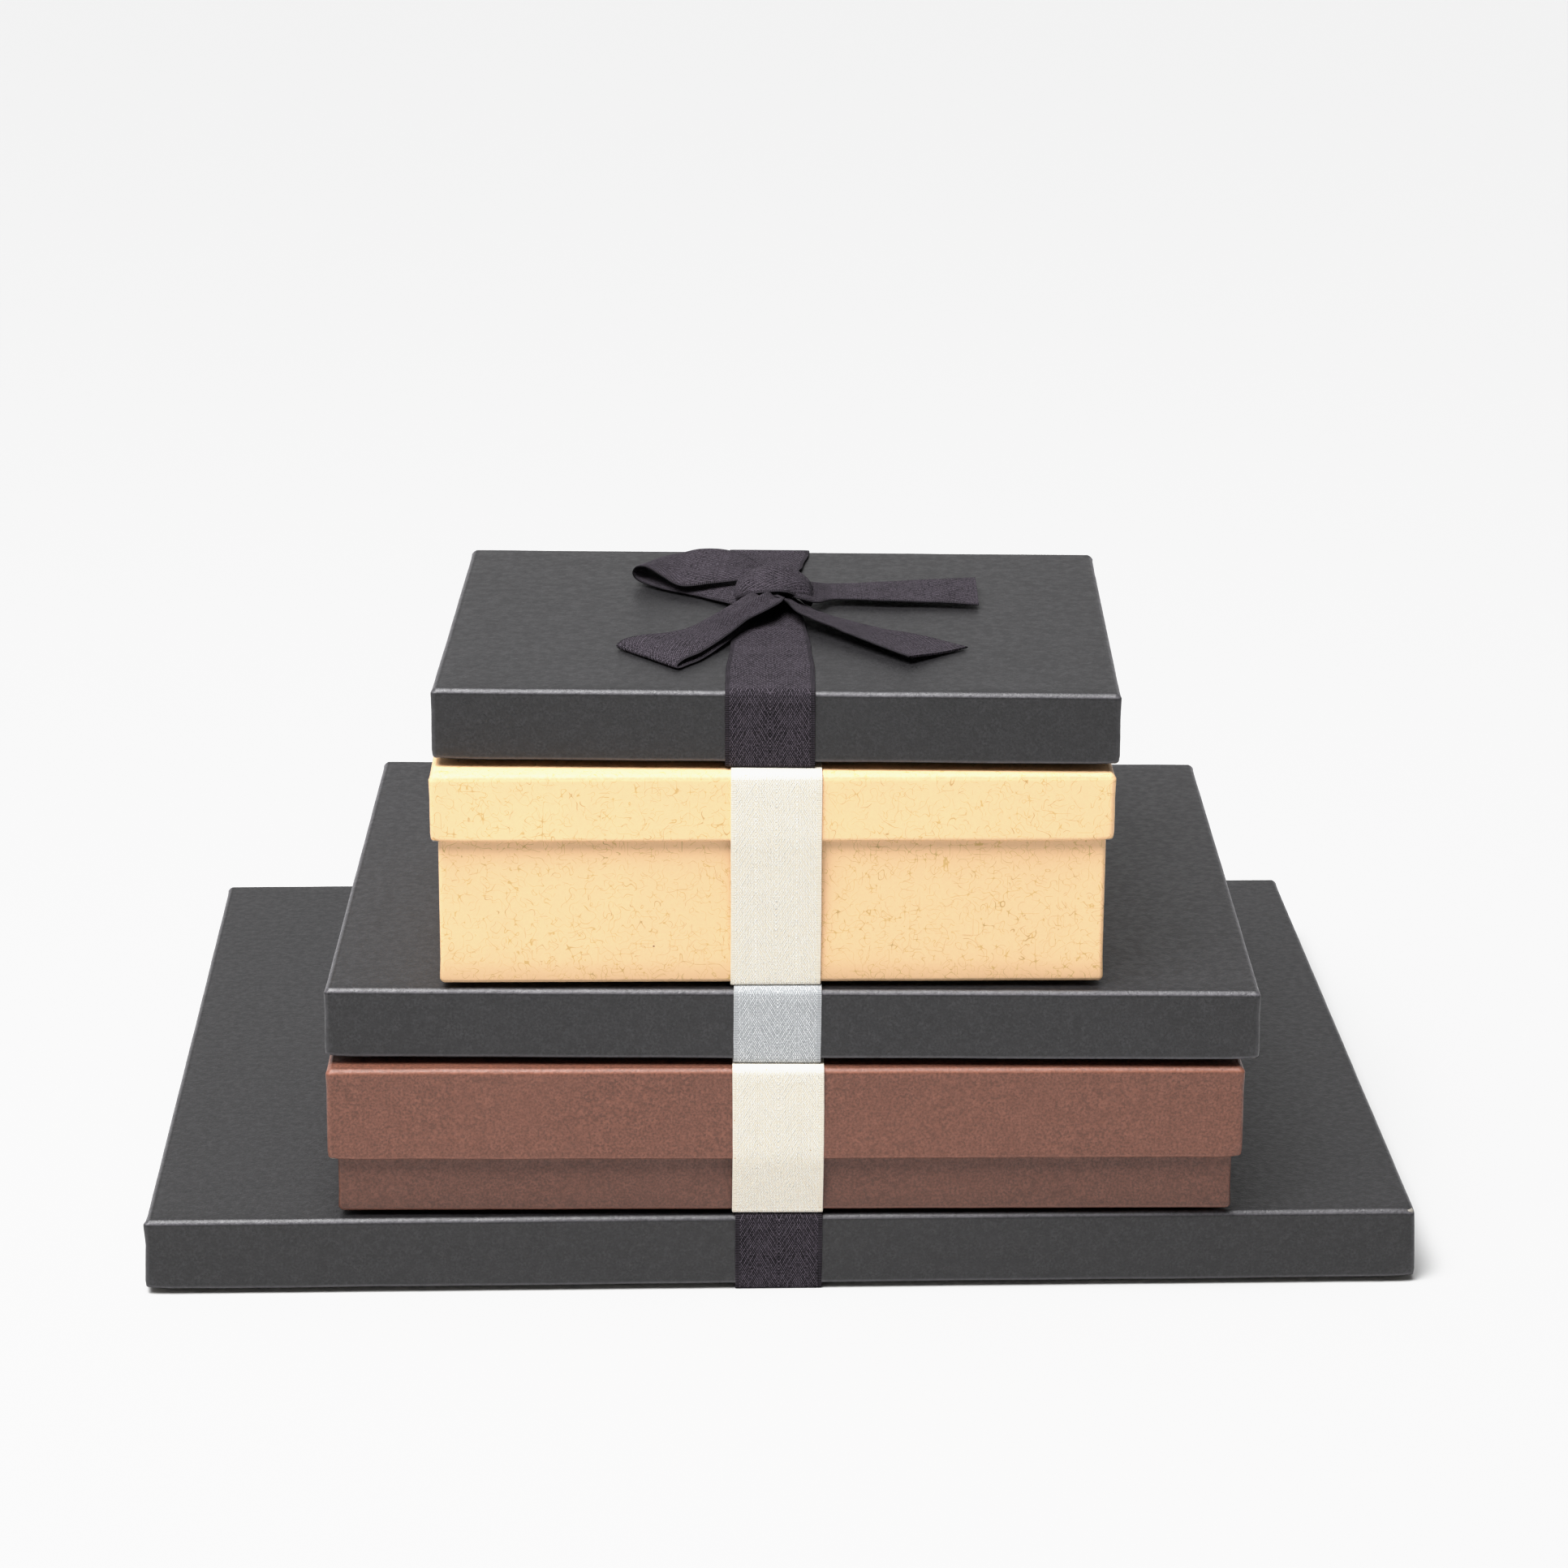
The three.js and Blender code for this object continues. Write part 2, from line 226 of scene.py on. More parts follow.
FIBRE_TINT = (0.86, 0.84, 0.48)  # a fibre is browner than the paper round it
FIBRES = (  # size of the curls in mm, width of the line, offset in m, shade, how broken up
    (2.8, 0.013, (0.11, 0.0, 0.0), 0.80, 0.50),
    (3.6, 0.011, (0.0, 0.37, 0.2), 0.74, 0.54),
    (2.2, 0.015, (0.5, 0.1, 0.7), 0.84, 0.50),
    (4.4, 0.009, (0.9, 0.6, 0.3), 0.62, 0.58),
)


def curly_fibres(n, tone, colour):
    """Thin lines where a noise crosses a level, broken into short lengths by a second noise."""
    for size, width, offset, dark, share in FIBRES:
        at = n.place(offset)
        line = n.math("ABSOLUTE", n.math("SUBTRACT", n.noise(at, size, 0.0), 0.5))
        thin = n.ramp(line, width * 0.3, width, 1.0, 0.0)
        part = n.ramp(n.noise(at, 3.4, 0.0), share - 0.05, share + 0.02)
        amount = n.math("MULTIPLY", n.math("MULTIPLY", thin, part), 0.8)
        brown = tuple(c * dark * tint for c, tint in zip(colour, FIBRE_TINT)) + (1,)
        tone = n.mix(amount, tone, brown)
    specks = n.flecks((0.3, 0.3, 0.3), 11, 0.018, 0.034, 0.8, 0.72)
    return n.mix(specks, tone, linear(96, 62, 30))


WARP = 0.325  # one warp yarn, mm
PICK = 0.55  # one weft pick, mm
SELVEDGE = 1.3  # plain edge of the tape, mm
STRIPES = 4
# painted shade and highlight: the weave's hollows are coloured darker and its raised yarns lighter
PAINTED_RELIEF_SHADE = 0.8  # how much of the weave's relief shows in its colour
TAPE_BUMP = 0.2  # mm


def tape(name, width, colour, painted_gap_shade, fleck=None, sheen=0.25):
    """Herringbone twill from the tape's own coordinates: u across and v along, in mm."""
    n = Nodes(name)
    uv = n.add("ShaderNodeSeparateXYZ", {0: n.add("ShaderNodeUVMap", uv_map="tape").outputs[0]})
    across, along = uv.outputs[0], uv.outputs[1]
    stripe = (width - 2 * SELVEDGE) / STRIPES
    inner = n.math("SUBTRACT", across, SELVEDGE)
    folded = n.math("PINGPONG", inner, stripe)
    yarn = n.math("DIVIDE", folded, WARP)
    index = n.math("FLOOR", yarn)
    over = n.math("SUBTRACT", n.math("FRACT", yarn), 0.5)
    ridge = n.math("COSINE", n.math("MULTIPLY", over, math.pi * 0.92))
    wander = n.math("MULTIPLY", n.math("SUBTRACT", n.noise(n.place(), 3.0), 0.5), 0.9)
    picks = n.math("SUBTRACT", n.math("ADD", n.math("DIVIDE", along, PICK), wander), index)
    slant = n.math("SINE", n.math("MULTIPLY", picks, math.pi / 2))
    on_line = n.math("MULTIPLY_ADD", slant, 0.16, 0.7)
    knuckle = n.math("ABSOLUTE", slant)
    risen = n.math("MULTIPLY_ADD", knuckle, 0.9, 0.1)
    dotted = n.math("MULTIPLY", n.math("POWER", ridge, 0.8), risen)
    cell = n.add("ShaderNodeCombineXYZ", {0: index, 1: n.math("FLOOR", picks)}).outputs[0]
    by_cell = n.add("ShaderNodeTexWhiteNoise", {"Vector": cell}, noise_dimensions="2D")
    uneven = n.math("MULTIPLY_ADD", by_cell.outputs["Value"], 0.9, 0.6)
    twill = n.math("MULTIPLY", dotted, n.math("MULTIPLY", on_line, uneven))
    beat = n.math("ADD", n.math("DIVIDE", along, PICK), index)
    plain = n.math("SINE", n.math("MULTIPLY", beat, math.pi))
    edge_rib = n.math("MAXIMUM", n.math("MULTIPLY", ridge, n.math("ABSOLUTE", plain)), 0.1)
    from_edge = n.math("MINIMUM", across, n.math("SUBTRACT", width, across))
    in_body = n.ramp(from_edge, SELVEDGE - 0.1, SELVEDGE + 0.1)
    in_selvedge = n.math("SUBTRACT", 0.55, n.math("MULTIPLY", in_body, 0.55))
    height = n.math("ADD", n.math("MULTIPLY", twill, in_body),
                    n.math("MULTIPLY", edge_rib, in_selvedge))
    fluff = n.noise(n.place(), 0.16, 2.0, 0.7)
    # painted shade: the weave's relief sets its colour, the gap colour in the hollows
    lit = n.math("ADD", n.math("MULTIPLY", height, PAINTED_RELIEF_SHADE), n.math("MULTIPLY", fluff, 0.22))
    tone = n.mix(n.ramp(lit, 0.18, 0.18 + PAINTED_RELIEF_SHADE * 0.8), painted_gap_shade, colour)
    cloud = n.ramp(n.noise(n.place(), 7.0, 3.0), 0.35, 0.7, 0.0, 0.12)
    tone = n.mix(cloud, tone, scaled(colour, 0.8))
    if fleck is not None:
        tone = n.mix(n.flecks((0.2, 0.4, 0.1), 3.1, 0.05, 0.085, 0.75, 0.80), tone, fleck)
    n.put(n.shader.inputs["Base Color"], tone)
    n.shader.inputs["Roughness"].default_value = 0.92
    n.shader.inputs["Specular IOR Level"].default_value = 0.12
    n.shader.inputs["Sheen Weight"].default_value = sheen
    n.shader.inputs["Sheen Roughness"].default_value = 0.5
    relief = n.math("ADD", height, n.math("MULTIPLY", fluff, 0.5))
    n.put(n.shader.inputs["Normal"], n.bump(relief, TAPE_BUMP, 1.0))
    return n.material


def greyboard():
    """Raw board: grey pulp with darker and lighter flecks."""
    n = Nodes("greyboard")
    at = n.place()
    base = linear(148, 143, 135)
    grain = n.ramp(n.noise(at, 0.9, 4.0, 0.7), 0.3, 0.7)
    tone = n.mix(grain, scaled(base, 0.82), scaled(base, 1.12))
    tone = n.mix(n.ramp(n.noise(at, 0.35, 1.0), 0.63, 0.72, 0.0, 0.5), tone, linear(92, 86, 78))
    n.put(n.shader.inputs["Base Color"], tone)
    n.shader.inputs["Roughness"].default_value = 0.9
    n.put(n.shader.inputs["Normal"], n.bump(n.noise(at, 0.6, 3.0), 0.08, 0.6))
    return n.material


def lining():
    """White lining paper with a faint laid texture."""
    n = Nodes("lining_paper")
    at = n.place()
    base = linear(232, 228, 220)
    grain = n.ramp(n.noise(at, 1.2, 3.0), 0.3, 0.7)
    tone = n.mix(grain, scaled(base, 0.94), scaled(base, 1.03))
    n.put(n.shader.inputs["Base Color"], tone)
    n.shader.inputs["Roughness"].default_value = 0.85
    n.put(n.shader.inputs["Normal"], n.bump(n.noise(at, 0.5, 2.0), 0.04, 0.5))
    return n.material


LOOKS = {
    # The pairs in brackets are the edge mark: rubbing at the rims, and on the top edges a painted
    # highlight, 8 and 2.2 times the paper's colour on charcoal and cocoa, and painted shade, 0.66
    # times it, on kraft.
    "charcoal": paper("charcoal_paper", linear(33, 32, 34), 0.85, 0.42, (1.0, 8.0), specular=0.56),
    "cocoa": paper("cocoa_paper", linear(113, 71, 56), 0.42, 0.45, (0.5, 2.2)),
    "kraft": paper("kraft_paper", linear(248, 203, 155), 0.02, 0.55, (1.0, 0.66), relief=0.3,
                   fibres=True, specular=0.4),
    "greyboard": greyboard(),
    "lining": lining(),
}
# a yarn's colour, the painted shade between yarns, flecks and sheen, for each kind of tape
TAPES = {
    "black_tape": dict(colour=linear(98, 90, 100), painted_gap_shade=linear(3, 3, 4), sheen=0.0),
    "grey_tape": dict(colour=linear(242, 244, 246), painted_gap_shade=linear(150, 153, 156),
                      fleck=linear(150, 128, 90)),
    "ivory_tape": dict(colour=linear(255, 255, 250), painted_gap_shade=linear(231, 220, 200),
                       fleck=linear(196, 160, 110)),
}


def tape_look(name):
    """Each box's own tape, because the weave is laid out across its width."""
    kind = BOXES[name]["ribbon"]
    return tape(name + "_" + kind, BOXES[name]["tape"], **TAPES[kind])


# ---- meshes ----------------------------------------------------------------------------------
def add_mesh(name, points, faces, look, body):
    """Points are in the row frame, in millimetres."""
    mesh = bpy.data.meshes.new(name)
    mesh.from_pydata([tuple(c * MM for c in p) for p in points], [], faces)
    mesh.validate()
    mesh.polygons.foreach_set("use_smooth", [True] * len(mesh.polygons))
    mesh.set_sharp_from_angle(angle=math.radians(SHARP_ANGLE))
    mesh.materials.append(look)
    obj = bpy.data.objects.new(name, mesh)
    bpy.context.scene.collection.objects.link(obj)
    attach(obj, body)
    return obj


def lay_weave(obj, uvs):
    """Gives a tape its own coordinates: across and along, in mm, one pair for each point."""
    layer = obj.data.uv_layers.new(name="tape")
    for corner in obj.data.loops:
        layer.data[corner.index].uv = uvs[corner.vertex_index]


def smoothstep(low, high, value):
    t = min(max((value - low) / (high - low), 0.0), 1.0)
    return t * t * (3 - 2 * t)


def sign(value):
    return 1 if value > 0 else -1


def edge_steps(half, radius):
    """Grid lines from -half to half, close together where the edges are rounded."""
    crease = [half - radius - inset for inset in (0.8, 0.4, 0.15)]
    zone = crease + [half - radius + radius * math.tan(math.radians(a)) for a in (0, 15, 30, 45)]
    inner = half - radius - 1.4  # where the even spacing starts
    count = max(2, math.ceil(2 * inner / GRID))
    middle = [-inner + 2 * inner * i / count for i in range(count + 1)]
    return [-z for z in reversed(zone)] + middle + zone


def cap_mesh(width, depth, height, r, flatness):
    """A rounded shell closed on top and open below, its paper turned in round the rim.
    Gives points, faces and how strongly each point shows its edge mark: rubbing at the rim, and
    painted light on the edges, strongest where they face up. Centred on x and y, the rim at z = 0."""
    half = (width / 2, depth / 2)
    xs = edge_steps(half[0], r)
    ys = edge_steps(half[1], r)
    points, faces, wear_and_painted_edge_light = [], [], []

    def rounded(x, y, z):
        q = (max(-half[0] + r, min(half[0] - r, x)),
             max(-half[1] + r, min(half[1] - r, y)),
             min(z, height - r))
        normal = Vector((x - q[0], y - q[1], z - q[2])).normalized()
        flat = flatness * smoothstep(0.05, 0.3, normal.z)
        reach = 1 - flat + flat / (abs(normal.x) + abs(normal.y) + abs(normal.z))
        return Vector(q) + normal * r * reach, normal

    for y in ys:
        for x in xs:
            p, normal = rounded(x, y, height)
            inset = min(half[0] - abs(x), half[1] - abs(y)) - r
            p.z -= CREASE * smoothstep(0, 0.3, inset) * smoothstep(1.2, 0.4, inset)
            points.append(p)
            steep = max(abs(c) for c in normal)
            # painted light: the edge mark grows on edges that face up, where light from above falls
            painted_light_toward_top = 0.15 + 0.4 * smoothstep(0.05, 0.35, normal.z)
            wear_and_painted_edge_light.append((1 - smoothstep(0.92, 1.0, steep)) * painted_light_toward_top)
    nx, ny = len(xs), len(ys)
    for j in range(ny - 1):
        for i in range(nx - 1):
            a = j * nx + i
            faces.append((a, a + 1, a + nx + 1, a + nx))
    rim = [i for i in range(nx)]
    rim += [j * nx + nx - 1 for j in range(1, ny)]
    rim += [(ny - 1) * nx + i for i in range(nx - 2, -1, -1)]
    rim += [j * nx for j in range(ny - 2, 0, -1)]
    feet = [(xs[k % nx], ys[k // nx]) for k in rim]

    def ring(z, inward=0.0):
        nonlocal rim
        start = len(points)
        for x, y in feet:
            if inward == 0.0:
                p, normal = rounded(x, y, z)
            else:
                _, normal = rounded(x, y, 0.0)
                corner = max(r - inward, 0.25)
                cx, cy = half[0] - inward - corner, half[1] - inward - corner
                p = Vector((max(-cx, min(cx, x)) + corner * normal.x,
                            max(-cy, min(cy, y)) + corner * normal.y, z))
            points.append(p)
            upright = max(abs(normal.x), abs(normal.y), abs(normal.z))
            # painted light: the edge mark grows on edges that face up, where light from above falls
            painted_light_toward_top = 0.15 + 0.85 * smoothstep(0.05, 0.3, normal.z)
            at_rim = 0.5 if z < 0.5 else 0.0
            wear_and_painted_edge_light.append(max((1 - smoothstep(0.955, 1.0, upright)) * painted_light_toward_top, at_rim))
        count = len(feet)
        for k in range(count):
            m = (k + 1) % count
            faces.append((rim[k], start + k, start + m, rim[m]))
        rim = [start + k for k in range(count)]

    for angle in (30, 15, 0):
        ring(height - r + r * math.tan(math.radians(angle)))
    span = height - r - sum(ROW_ENDS)
    rows = max(2, round(span / GRID))
    for i in range(rows + 1):
        ring(height - r - ROW_ENDS[0] - span * i / rows)
    ring(0.9)
    ring(0.35)
    for inward, z in ((0.1, 0.1), (0.35, 0.0), (COVER_T - 0.35, 0.0), (COVER_T - 0.08, 0.12),
                      (COVER_T, 0.4), (COVER_T, TURN_IN)):
        ring(z, inward)
    return points, faces, wear_and_painted_edge_light


def weather(points, width, depth, height, flare, seed, sag, corners):
    """Small departures from true: flared skirt, bowed walls, wavy rim, knocked corners."""
    rng = random.Random(seed)
    left, right, front, back = [rng.uniform(*WALL_BOW) for _ in range(4)]
    offset = Vector((seed * 3.1, seed * 1.7, seed * 0.9))
    out = []
    for p in points:
        x, y, z = p
        sx, sy = x / (width / 2), y / (depth / 2)
        t = min(max((height - z) / height, 0.0), 1.0)
        grow = flare * t ** 1.4
        x += grow * sx
        y += grow * sy
        arch_x, arch_y = math.cos(sx * math.pi / 2), math.cos(sy * math.pi / 2)
        side_x, side_y = smoothstep(0.85, 1, abs(sx)), smoothstep(0.85, 1, abs(sy))
        x += (left if sx < 0 else right) * arch_y * side_x * sign(sx) * (0.3 + 0.7 * t)
        y += (front if sy < 0 else back) * arch_x * side_y * sign(sy) * (0.3 + 0.7 * t)
        dome = math.cos(min(abs(sx), 1) * math.pi / 2) * math.cos(min(abs(sy), 1) * math.pi / 2)
        z -= sag * dome * (1 - t) ** 3
        z += RIM_WAVE * t ** 3 * noise.noise(Vector((x, y, 0)) / 30 + offset)
        near = smoothstep(4.0, 0.8, math.hypot(width / 2 - abs(x), depth / 2 - abs(y)))
        low = near * smoothstep(3.2, 0.0, z)
        x -= 0.3 * low * sign(x)
        y -= 0.2 * low * sign(y)
        z += 0.4 * low
        high = near * smoothstep(1.6, 0.2, abs(z - (height - EDGE_R - 0.3)))
        push, drop = corners.get((x > 0, y > 0), (0.22, 0.0))
        x += push * high * sign(x)
        y += push * 0.5 * high * sign(y)
        z -= drop * near * smoothstep(4.0, 0.5, height - z)
        wobble = noise.noise_vector(Vector((x, y, z)) / 14 + offset) * WOBBLE
        out.append(Vector((x, y, z)) + wobble)
    return out


def set_values(obj, name, values):
    layer = obj.data.attributes.new(name, "FLOAT", "POINT")
    layer.data.foreach_set("value", [float(v) for v in values])


def cover(name, part, flare, seed, sag):
    """The covering paper of a lid or a base, in place of the CAD node of that name."""
    node = f"{name}_{part}_wrap"
    low, high = local_box(name, node)
    size = high - low
    upside_down = part == "base"
    edge = (BASE_EDGE_R, 0.0) if upside_down else (EDGE_R, FLATNESS)
    points, faces, wear_and_painted_edge_light = cap_mesh(*size, *edge)
    if upside_down:
        corners = {}
        # painted shade: a base is darker all over, and darker still towards its foot
        darker, reach = PAINTED_FOOT_SHADE
        painted_base_shade = BOXES[name].get("painted_base_shade", 0.97)
        shade = [painted_base_shade * (1 - darker * smoothstep(size.z - reach, size.z, p.z))
                 for p in points]
    else:
        corners = BOXES[name].get("corners", {})
        # painted shade: some lids are darker all over
        shade = [BOXES[name].get("painted_lid_shade", 1.0)] * len(points)
    points = weather(points, *size, flare, seed, sag, corners)
    if upside_down:
        points = [Vector((p.x, -p.y, size.z - p.z)) for p in points]
    place = box_matrix(name)
    middle = Vector(((low.x + high.x) / 2, (low.y + high.y) / 2, 0))
    moved = [place @ (p + middle + Vector((0, 0, low.z))) for p in points]
    look = BOXES[name]["look"]
    obj = add_mesh(f"{name}_{part}_cover", moved, faces, LOOKS[look], f"{name}_{part}")
    set_values(obj, "wear_and_painted_edge_light", wear_and_painted_edge_light)
    set_values(obj, "shade", shade)
    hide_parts(node)


# ---- ribbons ---------------------------------------------------------------------------------
def strip(name, stations, width, look, body, start=0.0, columns=14):
    """A tape with thickness. A station is (middle, across, normal) in the row frame, in mm."""
    edge = width / 2
    us = [-edge + width * i / columns for i in range(columns + 1)]
    us = [us[0], us[0] + 0.15] + us[1:-1] + [us[-1] - 0.15, us[-1]]
    points, uvs, faces = [], [], []
    along = start
    loop = 2 * len(us) - 2  # points round one station
    for k, (middle, across, normal) in enumerate(stations):
        if k:
            along += (middle - stations[k - 1][0]).length
        for side in (1, -1):  # the upper face, then back along the lower one
            chosen = us if side == 1 else us[-2:0:-1]
            for u in chosen:
                inside = min((edge - abs(u)) / (RIBBON_T / 2), 1.0)
                half = RIBBON_T / 2 * math.sqrt(max(0.0, 1 - (1 - inside) ** 2))
                points.append(middle + across * u + normal * (side * half))
                uvs.append((u + edge, along))
    for k in range(len(stations) - 1):
        for i in range(loop):
            j = (i + 1) % loop
            a, b = k * loop, (k + 1) * loop
            faces.append((a + i, a + j, b + j, b + i))
    last = (len(stations) - 1) * loop
    n = len(us)
    for base, flip in ((0, True), (last, False)):
        pairs = [(i, (loop - i) % loop) for i in range(n)]
        for (a, b), (c, d) in zip(pairs, pairs[1:]):
            quad = [base + a, base + c, base + d, base + b]
            quad = [q for i, q in enumerate(quad) if q not in quad[:i]]
            faces.append(tuple(quad if flip else reversed(quad)))
    obj = add_mesh(name, points, faces, look, body)
    lay_weave(obj, uvs)
    return obj


def arc(cx, cz, radius, start, end, steps):
    """Points on an arc from one angle to another, in degrees."""
    angles = [math.radians(start + (end - start) * i / steps) for i in range(steps + 1)]
    return [(cx + radius * math.cos(angle), cz + radius * math.sin(angle)) for angle in angles]


def resample(path, step):
    """Points a step apart along a path in (y, z), keeping its corners."""
    out = [path[0]]
    for a, b in zip(path, path[1:]):
        length = math.hypot(b[0] - a[0], b[1] - a[1])
        count = max(1, round(length / step))
        out += [(a[0] + (b[0] - a[0]) * i / count, a[1] + (b[1] - a[1]) * i / count)
                for i in range(1, count + 1)]
    return out


def stations_of(name, path, shift, seed, tremble=0.08):
    """Stations of a tape that runs along path in the box's (y, z) plane, facing outward."""
    place = box_matrix(name)
    turn = place.to_3x3()
    skew = BOXES[name].get("skew", 0.0)
    gather = BOXES[name].get("gather")
    out = []
    for k, (y, z) in enumerate(path):
        before = path[max(k - 1, 0)]
        after = path[min(k + 1, len(path) - 1)]
        tangent = Vector((0, after[0] - before[0], after[1] - before[1])).normalized()
        normal = Vector((1, 0, 0)).cross(tangent)
        lift = tremble * noise.noise(Vector((y / 14, z / 14, seed)))
        side = 0.25 * noise.noise(Vector((y / 45, z / 45, seed + 9))) + skew * y
        reach = 1.0
        if gather and tremble:
            reach, raised = drawn_in(y)
            lift += raised * max(normal.z, 0)
        middle = Vector((shift + side, y, z)) + normal * lift
        out.append((place @ middle, turn @ Vector((reach, 0, 0)), turn @ normal))
    return out


# y in the box, mm; the tape's width there, as a share; how far it rises, mm
UNDER_KNOT = (
    (0, 1.0, 0), (20, 1.0, 0), (41, 0.93, 0), (67, 0.81, 0.3), (77, 0.72, 0.9), (92, 0.5, 1.6),
    (106, 0.5, 1.6), (120, 0.68, 0.9), (130, 0.82, 0.3), (146, 0.98, 0), (160, 1, 0),
)


def drawn_in(y):
    """How far the tape under the knot is drawn in, and how far it rises, at y in the box."""
    for (a, wa, ha), (b, wb, hb) in zip(UNDER_KNOT, UNDER_KNOT[1:]):
        if y <= b:
            t = smoothstep(a, b, y)
            return wa + (wb - wa) * t, ha + (hb - ha) * t
    return 1.0, 0.0


def band_path(name):
    """The band's middle line over the lid, and its run under the base, in (y, z)."""
    box = BOXES[name]
    lid = local_box(name, name + "_lid_wrap")
    base = local_box(name, name + "_base_wrap")
    off = SEAT + RIBBON_T / 2
    front, back, top, rim = lid[0].y, lid[1].y, lid[1].z, lid[0].z
    foot_in = base[0].y if box["drawn"] else front
    back_in = base[1].y if box["drawn"] else back
    under = RIBBON_T / 2
    bend = 0.75
    low = under + bend + 0.35
    over = [(foot_in - off, low)]
    if box["drawn"]:
        over.append((front - off, rim))
    over += arc(front + EDGE_R, top - EDGE_R, EDGE_R + off, 180, 90, 6)
    over += arc(back - EDGE_R, top - EDGE_R, EDGE_R + off, 90, 0, 6)
    if box["drawn"]:
        over.append((back + off, rim))
    over.append((back_in + off, low))
    below = [(back_in + off, low - 0.03)]
    below += arc(back_in + off - bend, under + bend, bend, 0, -90, 5)
    below += arc(foot_in - off + bend, under + bend, bend, 270, 180, 5)
    below.append((foot_in - off, low - 0.03))
    return over, below


def length_of(path):
    return sum(math.dist(a, b) for a, b in zip(path, path[1:]))


def ribbons(name):
    """The band round the lid and its run under the base; gives the tape's material."""
    box = BOXES[name]
    look = tape_look(name)
    over, below = band_path(name)
    path = resample(over, STATION_STEP)
    band = strip(name + "_ribbon_over", stations_of(name, path, box["shift"], box["seed"]),
                 box["tape"], look, name + "_lid")
    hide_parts(name + "_ribbon_band")
    path = resample(below, STATION_STEP)
    run = strip(name + "_ribbon_below", stations_of(name, path, box["shift"], box["seed"], 0.0),
                box["tape"], look, name + "_base", start=length_of(over))
    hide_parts(name + "_ribbon_under")
    return look


# ---- the boxes -------------------------------------------------------------------------------
tape_looks = {}
for box_name, settings in BOXES.items():
    cover(box_name, "lid", settings["flare"], settings["seed"], LID_SAG)
    cover(box_name, "base", BASE_FLARE, settings["seed"] + 1, 0.0)
    tape_looks[box_name] = ribbons(box_name)
    for part, bare in (("base_board", "greyboard"), ("lid_board", "greyboard"),
                       ("base_liner", "lining")):
        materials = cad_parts[f"{box_name}_{part}"].data.materials
        materials.clear()
        materials.append(LOOKS[bare])


# ---- the bow ---------------------------------------------------------------------------------
def spline(points, t):
    """A point at t, from 0 to 1, on a smooth curve through the points."""
    last = len(points) - 1
    k = min(int(t * last), last - 1)
    f = t * last - k
    p0, p1, p2, p3 = points[max(k - 1, 0)], points[k], points[k + 1], points[min(k + 2, last)]
    return 0.5 * ((2 * p1) + (p2 - p0) * f + (2 * p0 - 5 * p1 + 4 * p2 - p3) * f * f
                  + (3 * p1 - p0 - 3 * p2 + p3) * f ** 3)


CREASES = 17  # turns of the creases across the tape, radians
RIPPLE = 0.12  # unevenness of the bow's tape, mm
THIN_EDGE = 0.45  # its thickness at a selvedge, as a share


def tape_shell(name, net, look, creases, crease_ends, seed, rows=70, columns=18):
    """A piece of tape through a net of points: a row for each station, each from the near
    selvedge to the far one. Points are from the middle of the knot, at the lid's top, in mm.
    creases: depth of the creases, mm. crease_ends: shares of the length they run in from each
    end. Gives the object and the length of its middle line, mm."""
    knot_low, knot_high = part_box("bow_knot")
    lid_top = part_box("box5_lid_wrap")[1].z
    origin = Vector(((knot_low.x + knot_high.x) / 2, (knot_low.y + knot_high.y) / 2, lid_top)) / MM
    net = [[Vector(p) for p in row] for row in net]
    tape_width = BOXES["box5"]["tape"]
    grid = []
    for i in range(rows + 1):
        t = i / rows
        line = [spline([row[j] for row in net], t) for j in range(len(net[0]))]
        grid.append([spline(line, c / columns) for c in range(columns + 1)])
    lengths = [0.0]
    for a, b in zip(grid, grid[1:]):
        lengths.append(lengths[-1] + (b[columns // 2] - a[columns // 2]).length)
    normals = []
    for i in range(rows + 1):
        line = []
        for c in range(columns + 1):
            du = grid[i][min(c + 1, columns)] - grid[i][max(c - 1, 0)]
            dv = grid[min(i + 1, rows)][c] - grid[max(i - 1, 0)][c]
            n = du.cross(dv)
            line.append(n.normalized() if n.length > 1e-9 else Vector((0, 0, 1)))
        normals.append(line)
    points, uvs, faces = [], [], []
    ring = 2 * (columns + 1)
    for i in range(rows + 1):
        t = i / rows
        pull = max(smoothstep(crease_ends[0], 0.0, t),
                   smoothstep(1 - crease_ends[1], 1.0, t) if crease_ends[1] else 0)
        for side in (1, -1):  # the upper face, then back along the lower one
            order = range(columns + 1) if side == 1 else range(columns, -1, -1)
            for c in order:
                u = c / columns
                drift = 3 * noise.noise(Vector((t * 3, seed, 0)))
                fold = creases * pull * math.cos(u * CREASES + drift)
                fold += RIPPLE * noise.noise(Vector((u * 3, lengths[i] / 7, seed)))
                half = RIBBON_T / 2 * (THIN_EDGE if c in (0, columns) else 1.0)
                points.append(origin + grid[i][c] + normals[i][c] * (fold + side * half))
                uvs.append((u * tape_width, lengths[i]))
    for i in range(rows):
        for k in range(ring):
            m = (k + 1) % ring
            a, b = i * ring, (i + 1) * ring
            faces.append((a + k, a + m, b + m, b + k))
    for base, flip in ((0, True), (rows * ring, False)):
        for c in range(columns):
            quad = (base + c, base + c + 1, base + ring - 2 - c, base + ring - 1 - c)
            faces.append(quad if flip else tuple(reversed(quad)))
    obj = add_mesh(name, points, faces, look, "box5_lid")
    lay_weave(obj, uvs)
    return obj, lengths[-1]


